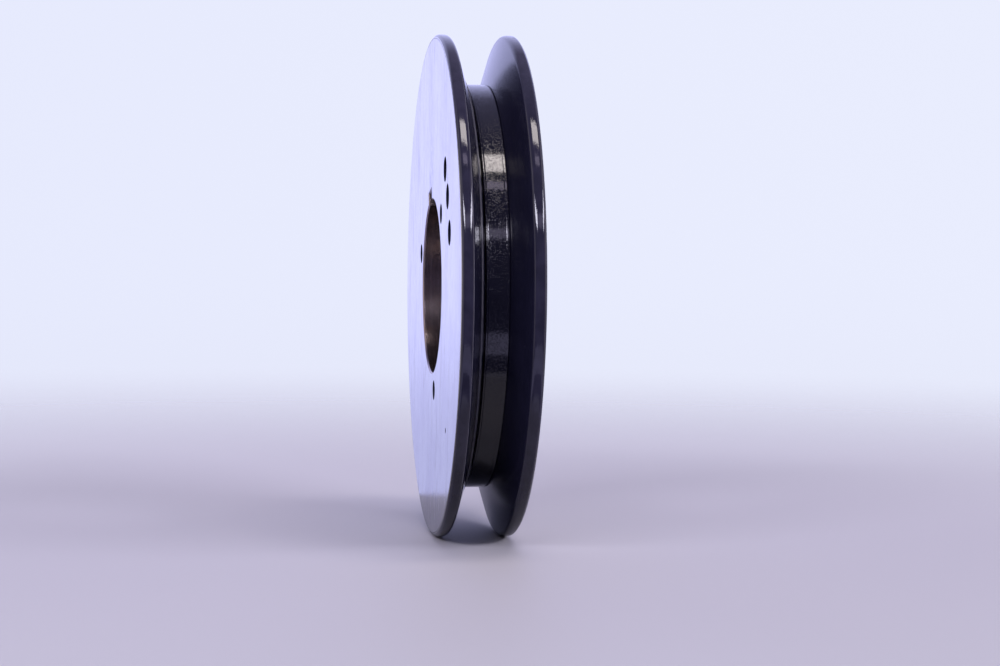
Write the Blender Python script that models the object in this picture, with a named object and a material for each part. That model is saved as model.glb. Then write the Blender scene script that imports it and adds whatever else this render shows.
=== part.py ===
"""V-belt pulley with one wide groove: two turned flanges clamped on a spacer disc.

Metres, +Z up. The pulley turns about the Y axis and its centre is the origin. The bare ground side
faces -Y, and the screw heads are on the +Y side. Angles on a side face are counted from +X towards +Z.
"""
import math

import bmesh
import bpy
from mathutils import Matrix, Vector

MM = 0.001
GAP = 0.3 * MM                      # clearance kept between pieces that touch

# Driving dimensions
RIM_R = 150.0 * MM                  # outside radius of both flanges
WIDTH = 47.0 * MM                   # over both side faces
LAND = 7.2 * MM                     # flat land on each flange's rim
GROOVE_HALF_ANGLE = math.radians(17.0)
FLOOR_R = 120.7 * MM                # groove floor, which is the spacer's outside
BORE_R = 52.0 * MM
KEYWAY_WIDTH = 16.0 * MM
KEYWAY_DEPTH = 6.3 * MM             # beyond the bore, on the keyway's centre line
SPACER_FRONT = 6.2 * MM             # from the middle plane to the spacer's two side faces
SPACER_BACK = 6.9 * MM

# Edges, and the recess in the front flange beside the groove floor
RIM_CHAMFER_R = 1.8 * MM
RIM_CHAMFER_Y = 1.2 * MM
LAND_EDGE = 0.6 * MM
BORE_CHAMFER = 0.8 * MM
SPACER_CHAMFER = 1.0 * MM
RECESS_R = 117.3 * MM
RECESS_FLOOR = 8.6 * MM             # from the middle plane

# Screw circle: tapped through the front flange, counterbored in the back flange
SCREW_COUNT = 3
SCREW_CIRCLE_R = 63.3 * MM
SCREW_START = math.radians(43.5)
THREAD_R = 5.4 * MM                 # near the pitch radius of an M12 thread
SHANK_R = 6.0 * MM
CLEARANCE_R = 6.75 * MM
HEAD_R = 9.0 * MM
HEAD_HEIGHT = 7.8 * MM
SOCKET_FLATS = 8.0 * MM
SOCKET_DEPTH = 4.6 * MM
SCREW_EDGE = 0.9 * MM               # chamfer on the head and on the screw's end
COUNTERBORE_R = 10.0 * MM
COUNTERBORE_DEPTH = 11.3 * MM
WASHER_THICKNESS = 2.4 * MM
WASHER_SLIT = 2.0 * MM
SCREW_END_DEPTH = 4.5 * MM          # how far the screw's end sits below the ground face

# Dowels, midway between screws on a larger circle
DOWEL_R = 5.0 * MM
DOWEL_CIRCLE_R = 95.0 * MM
DOWEL_ANGLES = [math.radians(133.5), math.radians(313.5)]
DOWEL_BLIND = 7.5 * MM              # depth of its hole in the front flange
DOWEL_SUNK = 1.0 * MM               # how far its end sits below the back face
DOWEL_EDGE = 0.6 * MM

# Balance drillings in the ground face, from a pointed drill
BALANCE_R = 7.1 * MM
BALANCE_CIRCLE_R = 95.2 * MM
BALANCE_DEPTH = 8.0 * MM
BALANCE_ANGLES = [math.radians(a) for a in (46.6, 34.3, 20.4)]
DRILL_POINT = math.radians(59.0)    # half of the drill's point angle

RIM_STEPS = 128
HOLE_STEPS = 32
WASHER_STEPS = 28
SHARP_ANGLE = math.radians(25.0)    # edges turning by more than this are shaded sharp

# Derived places
FACE_Y = WIDTH / 2
FRONT_MATE = SPACER_FRONT + GAP     # from the middle plane to the flange faces beside the spacer
BACK_MATE = SPACER_BACK + GAP
KEYWAY_ANGLE = SCREW_START + math.radians(60.0)
MOUTH_Y = FACE_Y - LAND


def clear_scene():
    for obj in list(bpy.data.objects):
        bpy.data.objects.remove(obj, do_unlink=True)


def material(name, colour, roughness, metallic):
    made = bpy.data.materials.new(name)
    made.use_nodes = True
    shader = made.node_tree.nodes["Principled BSDF"]
    shader.inputs["Base Color"].default_value = (*colour, 1.0)
    shader.inputs["Roughness"].default_value = roughness
    shader.inputs["Metallic"].default_value = metallic
    return made


def add_object(name, bm, finish=None, parent=None):
    """Close up a bmesh, point its faces outwards and link it as an object."""
    bmesh.ops.remove_doubles(bm, verts=bm.verts[:], dist=1e-6)
    bmesh.ops.recalc_face_normals(bm, faces=bm.faces[:])
    mesh = bpy.data.meshes.new(name)
    bm.to_mesh(mesh)
    bm.free()
    mesh.shade_smooth()
    mesh.set_sharp_from_angle(angle=SHARP_ANGLE)
    obj = bpy.data.objects.new(name, mesh)
    bpy.context.collection.objects.link(obj)
    if finish is not None:
        mesh.materials.append(finish)
    obj.parent = parent
    return obj


def turned(outline, steps, closed=True):
    """Spin an outline of (radius, y) points about the Y axis. An open one starts and ends on the axis."""
    bm = bmesh.new()
    verts = [bm.verts.new((radius, y, 0.0)) for radius, y in outline]
    ring = verts + verts[:1] if closed else verts
    edges = [bm.edges.new(pair) for pair in zip(ring, ring[1:])]
    bmesh.ops.spin(bm, geom=verts + edges, cent=(0, 0, 0), axis=(0, 1, 0),
                   angle=math.tau, steps=steps, use_merge=True)
    return bm


def on_circle(radius, angle):
    return Vector((radius * math.cos(angle), 0.0, radius * math.sin(angle)))


def cut(target, bm, name, place=None, turn=0.0):
    """Cut a closed bmesh out of an object with an exact Boolean."""
    cutter = add_object(name, bm)
    cutter.hide_render = True
    cutter.display_type = "WIRE"
    cutter.location = place or Vector((0, 0, 0))
    cutter.rotation_euler = (0.0, -turn, 0.0)
    modifier = target.modifiers.new(name, "BOOLEAN")
    modifier.operation = "DIFFERENCE"
    modifier.solver = "EXACT"
    modifier.object = cutter


def round_hole(radius, low_y, high_y):
    return turned([(0, high_y), (radius, high_y), (radius, low_y), (0, low_y)], HOLE_STEPS, closed=False)


def keyway_cutter():
    """A block along the bore whose outer face is the keyway's flat floor."""
    bm = bmesh.new()
    bmesh.ops.create_cube(bm, size=1.0)
    floor = BORE_R + KEYWAY_DEPTH
    inner = BORE_R * 0.8
    size = Vector((floor - inner, WIDTH * 1.5, KEYWAY_WIDTH))
    bmesh.ops.transform(bm, verts=bm.verts[:], matrix=Matrix.Diagonal((*size, 1.0)))
    bmesh.ops.translate(bm, verts=bm.verts[:], vec=(floor - size.x / 2, 0, 0))
    return bm


def groove_wall_r(y):
    """Radius of a groove wall at a distance y from the middle plane."""
    return RIM_R - (MOUTH_Y - y) / math.tan(GROOVE_HALF_ANGLE)


def flange_outline(foot):
    """A flange as (radius, distance from the middle plane). The foot runs along its spacer side, from
    the bore to the end of the groove wall."""
    return foot + [
        (RIM_R - LAND_EDGE, MOUTH_Y - LAND_EDGE * math.tan(GROOVE_HALF_ANGLE)),
        (RIM_R, MOUTH_Y + LAND_EDGE),
        (RIM_R, FACE_Y - RIM_CHAMFER_Y),
        (RIM_R - RIM_CHAMFER_R, FACE_Y),
        (BORE_R + BORE_CHAMFER, FACE_Y),
        (BORE_R, FACE_Y - BORE_CHAMFER),
    ]


def screw_angles():
    return [SCREW_START + math.tau * i / SCREW_COUNT for i in range(SCREW_COUNT)]


def make_front_flange(finish, parent):
    outline = flange_outline([(BORE_R, FRONT_MATE), (RECESS_R, FRONT_MATE), (RECESS_R, RECESS_FLOOR),
                              (groove_wall_r(RECESS_FLOOR), RECESS_FLOOR)])
    solid = turned([(radius, -y) for radius, y in outline], RIM_STEPS)
    flange = add_object("front_flange", solid, finish, parent)
    cut(flange, keyway_cutter(), "keyway_in_front", turn=KEYWAY_ANGLE)
    for number, angle in enumerate(screw_angles(), 1):
        tapped = round_hole(THREAD_R + GAP, -FACE_Y - MM, 0.0)
        cut(flange, tapped, f"tapped_hole_{number}", on_circle(SCREW_CIRCLE_R, angle))
    for number, angle in enumerate(DOWEL_ANGLES, 1):
        blind = round_hole(DOWEL_R + GAP, -FRONT_MATE - DOWEL_BLIND, 0.0)
        cut(flange, blind, f"front_dowel_hole_{number}", on_circle(DOWEL_CIRCLE_R, angle))
    for number, angle in enumerate(BALANCE_ANGLES, 1):
        full = BALANCE_DEPTH - FACE_Y
        tip = full + BALANCE_R / math.tan(DRILL_POINT)
        drilled = turned([(0, tip), (BALANCE_R, full), (BALANCE_R, -FACE_Y - MM),
                          (0, -FACE_Y - MM)], HOLE_STEPS, closed=False)
        cut(flange, drilled, f"balance_hole_{number}", on_circle(BALANCE_CIRCLE_R, angle))
    return flange


def make_back_flange(finish, parent):
    outline = flange_outline([(BORE_R, BACK_MATE), (groove_wall_r(BACK_MATE), BACK_MATE)])
    flange = add_object("back_flange", turned(outline, RIM_STEPS), finish, parent)
    cut(flange, keyway_cutter(), "keyway_in_back", turn=KEYWAY_ANGLE)
    for number, angle in enumerate(screw_angles(), 1):
        step = FACE_Y - COUNTERBORE_DEPTH
        stepped = turned([(0, FACE_Y + MM), (COUNTERBORE_R, FACE_Y + MM), (COUNTERBORE_R, step),
                          (CLEARANCE_R, step), (CLEARANCE_R, 0), (0, 0)], HOLE_STEPS, closed=False)
        cut(flange, stepped, f"counterbored_hole_{number}", on_circle(SCREW_CIRCLE_R, angle))
    for number, angle in enumerate(DOWEL_ANGLES, 1):
        through = round_hole(DOWEL_R + GAP, 0.0, FACE_Y + MM)
        cut(flange, through, f"back_dowel_hole_{number}", on_circle(DOWEL_CIRCLE_R, angle))
    return flange


def make_spacer(finish, parent):
    edge = SPACER_CHAMFER
    outline = [(BORE_R, -SPACER_FRONT), (BORE_R, SPACER_BACK), (FLOOR_R - edge, SPACER_BACK),
               (FLOOR_R, SPACER_BACK - edge), (FLOOR_R, edge - SPACER_FRONT),
               (FLOOR_R - edge, -SPACER_FRONT)]
    spacer = add_object("spacer_disc", turned(outline, RIM_STEPS), finish, parent)
    cut(spacer, keyway_cutter(), "keyway_in_spacer", turn=KEYWAY_ANGLE)
    for number, angle in enumerate(screw_angles(), 1):
        cut(spacer, round_hole(CLEARANCE_R, -FACE_Y, FACE_Y),
            f"spacer_screw_hole_{number}", on_circle(SCREW_CIRCLE_R, angle))
    for number, angle in enumerate(DOWEL_ANGLES, 1):
        cut(spacer, round_hole(DOWEL_R + GAP, -FACE_Y, FACE_Y),
            f"spacer_dowel_hole_{number}", on_circle(DOWEL_CIRCLE_R, angle))
    return spacer


def hex_cutter(flats, low_y, high_y):
    bm = bmesh.new()
    corner_r = flats / math.sqrt(3.0)
    bmesh.ops.create_cone(bm, cap_ends=True, segments=6, radius1=corner_r, radius2=corner_r,
                          depth=high_y - low_y)
    bmesh.ops.rotate(bm, verts=bm.verts[:], matrix=Matrix.Rotation(math.radians(90.0), 3, "X"))
    bmesh.ops.translate(bm, verts=bm.verts[:], vec=(0, (low_y + high_y) / 2, 0))
    return bm


def make_screw(number, angle, finish, parent):
    """Low-head cap screw: a chamfered head, a plain shank and a slimmer stretch that stands for threads."""
    seat = FACE_Y - COUNTERBORE_DEPTH + GAP + WASHER_THICKNESS + GAP
    top = seat + HEAD_HEIGHT
    end = SCREW_END_DEPTH - FACE_Y
    edge = SCREW_EDGE
    outline = [(0, top), (HEAD_R - edge, top), (HEAD_R, top - edge), (HEAD_R, seat),
               (SHANK_R, seat), (SHANK_R, GAP - FRONT_MATE), (THREAD_R, -FRONT_MATE - GAP),
               (THREAD_R, end + edge), (THREAD_R - edge, end), (0, end)]
    solid = turned(outline, HOLE_STEPS, closed=False)
    screw = add_object(f"clamp_screw_{number}", solid, finish, parent)
    screw.location = on_circle(SCREW_CIRCLE_R, angle)
    cut(screw, hex_cutter(SOCKET_FLATS, top - SOCKET_DEPTH, top + MM), f"socket_{number}",
        screw.location)
    return screw


def make_washer(number, angle, finish, parent):
    """Split spring washer: a square-section ring with a slit, turned so that the slit faces outwards."""
    bottom = FACE_Y - COUNTERBORE_DEPTH + GAP
    inner = SHANK_R + GAP
    outer = HEAD_R
    half_slit = math.asin(WASHER_SLIT / 2 / outer)
    bm = bmesh.new()
    corners = [(inner, bottom), (outer, bottom), (outer, bottom + WASHER_THICKNESS),
               (inner, bottom + WASHER_THICKNESS)]
    start = Matrix.Rotation(-half_slit, 3, "Y")
    verts = [bm.verts.new(start @ Vector((radius, y, 0.0))) for radius, y in corners]
    face = bm.faces.new(verts)
    bmesh.ops.spin(bm, geom=[face] + face.edges[:] + verts, cent=(0, 0, 0), axis=(0, -1, 0),
                   angle=math.tau - 2 * half_slit, steps=WASHER_STEPS)
    washer = add_object(f"lock_washer_{number}", bm, finish, parent)
    washer.location = on_circle(SCREW_CIRCLE_R, angle)
    washer.rotation_euler = (0.0, -angle, 0.0)
    return washer


def make_dowel(number, angle, finish, parent):
    low = GAP - FRONT_MATE - DOWEL_BLIND
    high = FACE_Y - DOWEL_SUNK
    edge = DOWEL_EDGE
    outline = [(0, high), (DOWEL_R - edge, high), (DOWEL_R, high - edge), (DOWEL_R, low + edge),
               (DOWEL_R - edge, low), (0, low)]
    solid = turned(outline, HOLE_STEPS, closed=False)
    dowel = add_object(f"dowel_pin_{number}", solid, finish, parent)
    dowel.location = on_circle(DOWEL_CIRCLE_R, angle)
    return dowel


def main():
    clear_scene()
    axle = bpy.data.objects.new("pulley_centre", None)
    bpy.context.collection.objects.link(axle)
    bare = material("ground_steel", (0.55, 0.56, 0.62), 0.3, 1.0)
    black = material("black_paint", (0.025, 0.026, 0.034), 0.32, 0.0)
    rough = material("rough_black_paint", (0.02, 0.02, 0.026), 0.25, 0.0)
    oxide = material("black_oxide", (0.05, 0.05, 0.055), 0.4, 1.0)
    spring = material("spring_steel", (0.32, 0.31, 0.3), 0.35, 1.0)
    pin = material("pin_steel", (0.6, 0.6, 0.62), 0.2, 1.0)
    make_front_flange(bare, axle)
    make_spacer(rough, axle)
    make_back_flange(black, axle)
    for number, angle in enumerate(screw_angles(), 1):
        make_screw(number, angle, oxide, axle)
        make_washer(number, angle, spring, axle)
    for number, angle in enumerate(DOWEL_ANGLES, 1):
        make_dowel(number, angle, pin, axle)


main()
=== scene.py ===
"""V-belt pulley: finely turned surfaces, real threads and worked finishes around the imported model.

Lengths are in metres. The pulley turns about Y, its bare ground face looks along -Y, and +Z is up.
Angles on a side face are counted from +X towards +Z.
"""
import math

import bmesh
import bpy
import numpy as np
from mathutils import Matrix, Vector
from mathutils.geometry import delaunay_2d_cdt


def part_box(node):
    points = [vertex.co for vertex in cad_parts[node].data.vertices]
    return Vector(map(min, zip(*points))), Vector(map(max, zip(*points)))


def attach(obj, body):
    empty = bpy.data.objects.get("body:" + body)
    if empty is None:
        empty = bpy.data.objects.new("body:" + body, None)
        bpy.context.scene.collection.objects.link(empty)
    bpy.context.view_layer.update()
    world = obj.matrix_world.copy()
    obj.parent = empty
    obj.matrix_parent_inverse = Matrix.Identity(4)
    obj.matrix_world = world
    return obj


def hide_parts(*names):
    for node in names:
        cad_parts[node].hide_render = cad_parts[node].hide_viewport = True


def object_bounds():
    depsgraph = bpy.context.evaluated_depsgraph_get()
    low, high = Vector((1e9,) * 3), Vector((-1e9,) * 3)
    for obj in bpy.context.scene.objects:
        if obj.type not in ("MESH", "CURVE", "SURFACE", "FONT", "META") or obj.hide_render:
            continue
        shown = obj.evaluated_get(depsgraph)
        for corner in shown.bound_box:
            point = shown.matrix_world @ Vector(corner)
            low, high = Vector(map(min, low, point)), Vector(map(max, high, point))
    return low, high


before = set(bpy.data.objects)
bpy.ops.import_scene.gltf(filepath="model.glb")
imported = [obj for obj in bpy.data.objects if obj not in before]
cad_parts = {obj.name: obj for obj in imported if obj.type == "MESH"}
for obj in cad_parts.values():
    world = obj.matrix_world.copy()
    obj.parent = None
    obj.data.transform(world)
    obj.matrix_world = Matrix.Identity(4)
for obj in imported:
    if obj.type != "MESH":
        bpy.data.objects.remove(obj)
cad_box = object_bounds()

MM = 0.001
BODY = "root"
SHARP_ANGLE = math.radians(28.0)
SPACER_CLEAR = 0.02 * MM            # left between the spacer and the back flange

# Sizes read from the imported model
RIM_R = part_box("front_flange")[1].x
FACE_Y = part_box("back_flange")[1].y
FRONT_MATE_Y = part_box("front_flange")[1].y
FLOOR_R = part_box("spacer_disc")[1].x
SPACER_FRONT_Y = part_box("spacer_disc")[0].y
SPACER_BACK_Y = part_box("spacer_disc")[1].y
BACK_MATE_Y = SPACER_BACK_Y + SPACER_CLEAR
SCREW_END_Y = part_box("clamp_screw_1")[0].y
SCREW_TOP_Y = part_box("clamp_screw_1")[1].y
WASHER_LOW_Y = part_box("lock_washer_1")[0].y
WASHER_TOP_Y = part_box("lock_washer_1")[1].y
DOWEL_LOW_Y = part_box("dowel_pin_1")[0].y
DOWEL_TOP_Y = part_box("dowel_pin_1")[1].y
FLOOR_Z = cad_box[0][2]

# Sizes of the turned shapes
LAND = 7.2 * MM
GROOVE_HALF_ANGLE = math.radians(17.0)
CROWN = 0.40 * MM                   # how much lower a land's edges are than its middle
LAND_MIDDLE = 0.8 * MM              # half the width of the land's flattest part
FACE_EDGE_R = 148.2 * MM
FACE_FLAT_R = FACE_EDGE_R - 0.3 * MM
FACE_CORNER = 1.2 * MM              # from the side face to the corner at the land
FACE_CORNER_CUT = 1.0 * MM
BARE_EDGE = 0.45 * MM               # strip of the face's chamfer that the grinding cleaned
MOUTH_CUT = 2.1 * MM
LEDGE_R = 127.0 * MM                # small step at the foot of the front groove wall
LEDGE_ROUNDING = 0.30 * MM
RECESS_R = 117.3 * MM               # floor of the channel between that step and the band
RECESS_Y = -8.6 * MM
SHOULDER = 1.3 * MM                 # width of the smooth shoulders along both sides of the band
SHOULDER_DROP = 0.30 * MM
FRONT_SEAM = 0.03 * MM              # depth of the seam between a shoulder and the rough band
FRONT_SEAM_WIDTH = 0.3 * MM
BACK_SEAM = 0.04 * MM
BACK_SEAM_WIDTH = 0.4 * MM
BAND_SUNK = 0.12 * MM               # how much lower the rough band is than its shoulders
BAND_THICKNESS = 1.6 * MM
BACK_ROUNDING = 0.2                 # of the drop, on the shoulder beside the back flange
GRAIN = 1.2 * MM                    # width of the rough skin's small bumps
GRAIN_LIFT = 0.005 * MM
SWELL = 3.2 * MM                    # width of its wide bumps
SWELL_LIFT = 0.004 * MM
SKIN_LIMIT = 0.10 * MM
SKIN_FADE = 0.9 * MM
BORE_R = 52.0 * MM
BORE_CHAMFER = 0.8 * MM
KEYWAY_WIDTH = 16.0 * MM
KEYWAY_DEPTH = 6.3 * MM
KEYWAY_CORNER = 0.5 * MM

# Holes and fasteners
SCREW_CIRCLE_R = 63.3 * MM
SCREW_ANGLES = [math.radians(43.5 + 120.0 * i) for i in range(3)]
KEYWAY_ANGLE = math.radians(103.5)
THREAD_MAJOR_R = 6.0 * MM
THREAD_MINOR_R = 5.2 * MM
THREAD_PITCH = 1.75 * MM
THREAD_PLAY = 0.06 * MM
THREAD_ROWS = 6                     # rings for each pitch
BROKEN_EDGE = 0.25 * MM
BACK_BROKEN_EDGE = 0.3 * MM
SHANK_R = 6.0 * MM
CLEARANCE_R = 6.75 * MM
HEAD_R = 9.0 * MM
SOCKET_FLATS = 8.0 * MM
SOCKET_DEPTH = 4.6 * MM
COUNTERBORE_R = 10.0 * MM
COUNTERBORE_DEPTH = 11.3 * MM
WASHER_SLIT = 2.0 * MM
DOWEL_R = 5.0 * MM
DOWEL_PLAY = 0.3 * MM
DOWEL_CIRCLE_R = 95.0 * MM
DOWEL_ANGLES = [math.radians(133.5), math.radians(313.5)]
DOWEL_BLIND = 7.5 * MM
BALANCE_R = 7.1 * MM
BALANCE_CIRCLE_R = 95.2 * MM
BALANCE_DEPTH = 8.0 * MM
BALANCE_ANGLES = [math.radians(a) for a in (46.6, 34.3, 20.4)]
DRILL_POINT = math.radians(59.0)
PIT_CIRCLE_R = 111.5 * MM
PIT_ANGLE = math.radians(-45.7)
PIT_R = 1.7 * MM
PIT_DEPTH = 0.9 * MM

# Marks that this pulley carries, as (x, y, z)
SMUDGE = (-0.0065, -0.0235, 0.0647)
NICK = (0.0306, 0.0202, 0.1466)

# How finely each surface is divided
CORNER_STEPS = 7
RIM_STEPS = 600
HOLE_STEPS = 48
BORE_STEPS = 300
BAND_STEPS = 1500
BAND_ROWS = 34
SHOULDER_ROWS = 9

# the last slot holds the painted shade of the holes' insides
BARE, GLOSS, WALL, BORED, HOLE_SHADE_SLOT = range(5)      # a flange's material slots


# ---------------------------------------------------------------- outlines and surfaces

def circle(radius, steps, centre=(0.0, 0.0)):
    """Points (x, z) at equal angles round a circle."""
    turn = np.linspace(0.0, math.tau, steps, endpoint=False)
    return np.column_stack((centre[0] + radius * np.cos(turn), centre[1] + radius * np.sin(turn)))


def on_circle(radius, angle):
    """The point (x, z) at an angle on a circle round the axis."""
    return radius * math.cos(angle), radius * math.sin(angle)


def keyed_bore(grow=0.0):
    """Outline of the bore and its keyway, moved outwards by grow: an arc, two straight keyway walls,
    and a flat keyway floor with quarter-round corners, turned to the keyway's angle."""
    radius = BORE_R + grow
    half = KEYWAY_WIDTH / 2 + grow
    floor = BORE_R + KEYWAY_DEPTH + grow
    edge = math.asin(half / radius)
    arc = np.linspace(edge, math.tau - edge, BORE_STEPS)
    quarter = np.linspace(0.0, math.pi / 2, 6)
    centre = floor - KEYWAY_CORNER
    along = np.concatenate((radius * np.cos(arc),
                            centre + KEYWAY_CORNER * np.sin(quarter),
                            centre + KEYWAY_CORNER * np.cos(quarter)))
    across = np.concatenate((radius * np.sin(arc),
                             KEYWAY_CORNER * (1 - np.cos(quarter)) - half,
                             half - KEYWAY_CORNER * (1 - np.sin(quarter))))
    cos, sin = math.cos(KEYWAY_ANGLE), math.sin(KEYWAY_ANGLE)
    return np.column_stack((along * cos - across * sin, along * sin + across * cos))


def hexagon(flats, steps):
    """Points round a hexagon: at each angle, the radius is the distance to the nearest flat's line."""
    turn = np.linspace(0.0, math.tau, steps, endpoint=False)
    reach = flats / 2 / np.cos((turn + math.pi / 6) % (math.pi / 3) - math.pi / 6)
    return np.column_stack((reach * np.cos(turn), reach * np.sin(turn)))


def rounded(corners, steps=5):
    """A line through (radius, y, cut) corners. Each corner with a cut becomes a quadratic curve that
    starts and ends that far from it. Also gives how far round its corner each point is, from 0 to 1."""
    points, bend = [], []
    s = np.linspace(0.0, 1.0, steps)[:, None]
    for i, (radius, y, cut) in enumerate(corners):
        here = np.array((radius, y))
        if not cut:
            points.append(here[None])
            bend.append(np.zeros(1))
            continue
        back = np.array(corners[i - 1][:2]) - here
        ahead = np.array(corners[(i + 1) % len(corners)][:2]) - here
        back /= np.hypot(*back)
        ahead /= np.hypot(*ahead)
        points.append(here + cut * ((1 - s) ** 2 * back + s ** 2 * ahead))
        bend.append(np.sin(math.pi * s[:, 0]))
    return np.concatenate(points), np.concatenate(bend)


def lathe(profile, steps, centre=(0.0, 0.0), finish=BARE, bend=None):
    """A profile of (radius, y) points carried round the Y axis through the centre."""
    rings = np.empty((len(profile), steps, 3))
    turn = np.linspace(0.0, math.tau, steps, endpoint=False)
    rings[..., 0] = centre[0] + profile[:, :1] * np.cos(turn)
    rings[..., 1] = profile[:, 1:]
    rings[..., 2] = centre[1] + profile[:, :1] * np.sin(turn)
    return skin(rings, finish, bend)


def skin(rings, finish=BARE, bend=None):
    """Quads between neighbouring rings of an array (ring, point, xyz), each ring closed on itself."""
    count, steps = rings.shape[:2]
    here = np.arange(count * steps).reshape(count, steps)
    ahead = np.roll(here, -1, axis=1)
    quads = np.stack((here[:-1], ahead[:-1], ahead[1:], here[1:]), axis=-1).reshape(-1, 4)
    worn = np.repeat(np.zeros(count) if bend is None else bend, steps)
    return rings.reshape(-1, 3), quads, finish, worn


def ring(loop, y):
    """An outline's (x, z) points set at height y."""
    return np.column_stack((loop[:, 0], np.full(len(loop), y), loop[:, 1]))


def sleeve(loops, heights, finish=BARE):
    """The wall that joins outlines of equal point counts, one at each height."""
    return skin(np.stack([ring(loop, y) for loop, y in zip(loops, heights)]), finish)


def flat(y, loops, finish=BARE):
    """The flat area at height y inside the first outline and outside the others, as triangles. A
    triangle stays if a line from its middle crosses the outlines an odd number of times."""
    points = np.concatenate(loops)
    firsts = np.cumsum([0] + [len(loop) for loop in loops[:-1]])
    edges = np.concatenate([np.column_stack((first + np.arange(len(loop)),
                                             first + np.roll(np.arange(len(loop)), -1)))
                            for first, loop in zip(firsts, loops)])
    made = delaunay_2d_cdt([Vector(p) for p in points], edges.tolist(), [], 0, 1e-9)
    source = np.array([given[0] for given in made[3]])
    triangles = source[np.array(made[2])]
    middle = points[triangles].mean(axis=1)
    start, end = points[edges[:, 0]], points[edges[:, 1]]
    above = (start[:, 1] > middle[:, 1:]) != (end[:, 1] > middle[:, 1:])
    rise = np.where(end[:, 1] == start[:, 1], 1.0, end[:, 1] - start[:, 1])
    where = start[:, 0] + (middle[:, 1:] - start[:, 1]) * (end[:, 0] - start[:, 0]) / rise
    inside = (above & (middle[:, :1] < where)).sum(axis=1) % 2 == 1
    return ring(points, y), triangles[inside], finish, np.zeros(len(points))


def piece(name, patches, finishes, node):
    """Weld patches into one closed mesh, turn its faces outwards and let it stand for its CAD node."""
    starts = np.cumsum([0] + [len(patch[0]) for patch in patches[:-1]])
    faces = [face for start, patch in zip(starts, patches) for face in (patch[1] + start).tolist()]
    mesh = bpy.data.meshes.new(name)
    mesh.from_pydata(np.concatenate([patch[0] for patch in patches]), [], faces)
    mesh.polygons.foreach_set("material_index",
                              np.repeat([patch[2] for patch in patches], [len(p[1]) for p in patches]))
    worn = mesh.attributes.new("worn", "FLOAT", "POINT")
    worn.data.foreach_set("value", np.concatenate([patch[3] for patch in patches]).astype(np.float32))
    bm = bmesh.new()
    bm.from_mesh(mesh)
    bmesh.ops.remove_doubles(bm, verts=bm.verts, dist=2e-7)
    bmesh.ops.recalc_face_normals(bm, faces=bm.faces)
    bm.to_mesh(mesh)
    bm.free()
    mesh.shade_smooth()
    mesh.set_sharp_from_angle(angle=SHARP_ANGLE)
    made = bpy.data.objects.new(name, mesh)
    bpy.context.scene.collection.objects.link(made)
    for finish in finishes:
        mesh.materials.append(finish)
    weighted = made.modifiers.new("flat_faces_stay_flat", "WEIGHTED_NORMAL")
    weighted.keep_sharp = True
    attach(made, BODY)
    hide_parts(node)
    return made


# ---------------------------------------------------------------- threads

def thread_middle(play=0.0):
    """The radius halfway between the thread's crest and its root, less the play."""
    return (THREAD_MAJOR_R + THREAD_MINOR_R) / 2 - play


def thread(low_y, high_y, centre, play=0.0):
    """Screw thread: the radius is a triangle wave of height less angle, one turn each pitch, and
    fades to its middle radius over the last pitch at either end."""
    rows = int((high_y - low_y) / THREAD_PITCH * THREAD_ROWS) + 1
    y = np.linspace(low_y, high_y, rows)[:, None]
    turn = np.linspace(0.0, math.tau, HOLE_STEPS, endpoint=False)[None]
    phase = (y / THREAD_PITCH - turn / math.tau) % 1.0
    wave = np.clip(np.abs(phase * 2 - 1) * 1.25 - 0.125, 0.0, 1.0) - 0.5
    ends = np.clip(np.minimum(y - low_y, high_y - y) / THREAD_PITCH, 0.0, 1.0)
    radius = thread_middle(play) + (THREAD_MAJOR_R - THREAD_MINOR_R) * wave * ends
    rings = np.empty((rows, HOLE_STEPS, 3))
    rings[..., 0] = centre[0] + radius * np.cos(turn)
    rings[..., 1] = y
    rings[..., 2] = centre[1] + radius * np.sin(turn)
    return rings


# ---------------------------------------------------------------- flanges

def rim_profile(foot):
    """The turned outside of a flange as (radius, depth below its side face): the chamfer, the land with
    large soft corners and a slight crown, and the groove wall down to the given foot corners. The
    crown lowers each point by the square of its distance from the land's middle."""
    middle = LAND / 2
    corners = [
        (FACE_FLAT_R, 0.0, 0.0),
        (FACE_EDGE_R, 0.0, 0.1 * MM),
        (FACE_EDGE_R + BARE_EDGE, BARE_EDGE * FACE_CORNER / (RIM_R - FACE_EDGE_R), 0.0),
        (RIM_R, FACE_CORNER, FACE_CORNER_CUT),
        (RIM_R, middle - LAND_MIDDLE, 0.0),
        (RIM_R, middle, 0.0),
        (RIM_R, middle + LAND_MIDDLE, 0.0),
        (RIM_R, LAND, MOUTH_CUT),
    ] + foot
    line, bend = rounded(corners, CORNER_STEPS)
    off = np.clip((line[:, 1] - middle) / middle, -1.0, 1.0)
    line[:, 0] -= CROWN * off ** 2
    return line, bend


def outside(side, foot):
    """The rim in its finishes: a bare strip beside the side face, then a glossy land and the groove
    wall. The land ends in the middle of its soft corner at the groove's mouth, and below that corner
    only the ledge at the wall's foot is worn."""
    line, bend = rim_profile(foot)
    line[:, 1] = side * (FACE_Y - line[:, 1])
    edge = 2 + CORNER_STEPS
    mouth = edge + CORNER_STEPS + 3 + CORNER_STEPS // 2 + 1
    bend[mouth:] *= line[mouth:, 0] < LEDGE_R + MM
    return [lathe(line[:edge], RIM_STEPS),
            lathe(line[edge - 1:mouth], RIM_STEPS, finish=GLOSS, bend=bend[edge - 1:mouth]),
            lathe(line[mouth - 1:], RIM_STEPS, finish=WALL, bend=bend[mouth - 1:])]


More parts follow.
